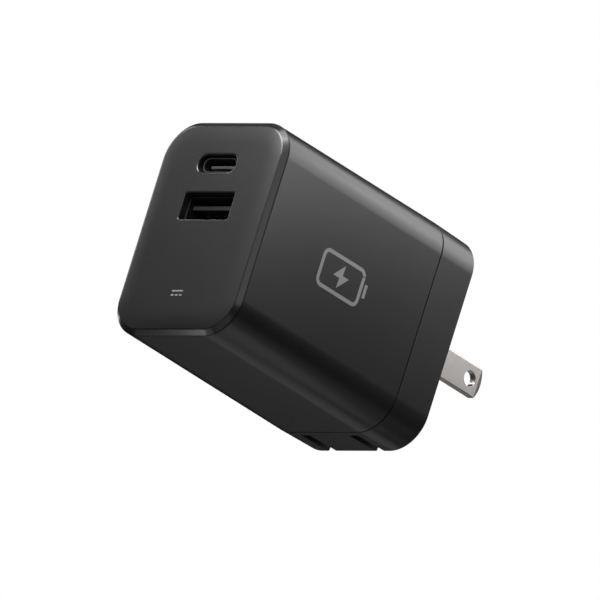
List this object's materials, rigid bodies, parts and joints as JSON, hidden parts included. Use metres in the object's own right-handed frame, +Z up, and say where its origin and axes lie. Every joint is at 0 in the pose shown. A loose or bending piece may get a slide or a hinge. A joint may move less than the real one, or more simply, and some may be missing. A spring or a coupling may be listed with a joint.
{
  "type": "usb wall charger",
  "caption": "Dark grey wall charger, a rounded upright block with a USB-C and a USB-A port in front and folding plug blades behind.",
  "frame": {"origin": "centre of the flat wall face, which sits against the wall plate when the charger is plugged in", "axes": "+Z up as it hangs in a wall outlet, +Y into the wall, -Y out of the port face, +X to the right looking at the wall"},
  "size_m": [0.033, 0.075, 0.044],
  "materials": {
    "case_plastic": "satin moulded polycarbonate, dark grey",
    "face_plastic": "satin moulded face with a glossier bevel",
    "cover_plastic": "satin moulded polycarbonate, dark grey",
    "inner_plastic": "glass-filled, black",
    "carrier_plastic": "glass-filled, black",
    "blade_nickel": "nickel-plated brass, fine rolled grain",
    "spring_bronze": "rolled phosphor bronze",
    "lead_sleeve_light": "silicone sleeve",
    "lead_sleeve_dark": "silicone sleeve",
    "shell_steel": "drawn stainless strip",
    "tongue_plastic": "liquid-crystal polymer, dark grey",
    "contact_gold": "gold flash on copper alloy",
    "circuit_board": "green solder mask",
    "chip_epoxy": "moulded epoxy",
    "ferrite": "ground ferrite",
    "enamelled_wire": "enamelled copper wire",
    "winding_tape": "polyester film tape",
    "capacitor_sleeve": "shrunk sleeve",
    "capacitor_can": "drawn can",
    "choke_ring": "epoxy-coated ferrite ring",
    "x_capacitor_case": "moulded box",
    "disc_coating": "dipped epoxy coat",
    "fuse_body": "ceramic tube",
    "gap_pad": "filled silicone",
    "spreader_aluminium": "rolled sheet",
    "insulation_film": "clear-white film"
  },
  "bodies": {
    "root": {"main_housing": "case_plastic", "front_panel": "face_plastic", "rear_cover": "cover_plastic", "blade_retainer": "inner_plastic", "contact_spring_left": "spring_bronze", "contact_spring_right": "spring_bronze", "input_lead_left": "lead_sleeve_light", "input_lead_right": "lead_sleeve_dark", "usb_c_shell": "shell_steel", "usb_a_shell": "shell_steel", "usb_c_tongue": "tongue_plastic", "usb_a_tongue": "tongue_plastic", "usb_c_contacts": "contact_gold", "usb_a_contacts": "contact_gold", "main_board": "circuit_board", "port_board": "circuit_board", "port_controller_chip": "chip_epoxy", "bridge_rectifier": "chip_epoxy", "power_switch_chip": "chip_epoxy", "controller_chip": "chip_epoxy", "sync_rectifier_chip": "chip_epoxy", "transformer_core_lower": "ferrite", "transformer_core_upper": "ferrite", "transformer_bobbin": "inner_plastic", "transformer_winding": "enamelled_wire", "transformer_tape": "winding_tape", "bulk_capacitors": "capacitor_sleeve", "output_capacitors": "capacitor_can", "choke_core": "choke_ring", "choke_windings": "enamelled_wire", "choke_base": "inner_plastic", "x_capacitor": "x_capacitor_case", "y_capacitor": "disc_coating", "varistor": "disc_coating", "fuse": "fuse_body", "thermal_pad": "gap_pad", "heat_spreader": "spreader_aluminium", "insulation_sheet": "insulation_film"},
    "blade_unit": {"blade_carrier": "carrier_plastic", "blade_left": "blade_nickel", "blade_right": "blade_nickel"}
  },
  "joints": [
    {"name": "blade_fold", "type": "hinge", "parent": "root", "child": "blade_unit", "pos_m": [0, -0.0032, 0.00025], "axis": [1, 0, 0], "range_deg": [-90, 0]}
  ]
}
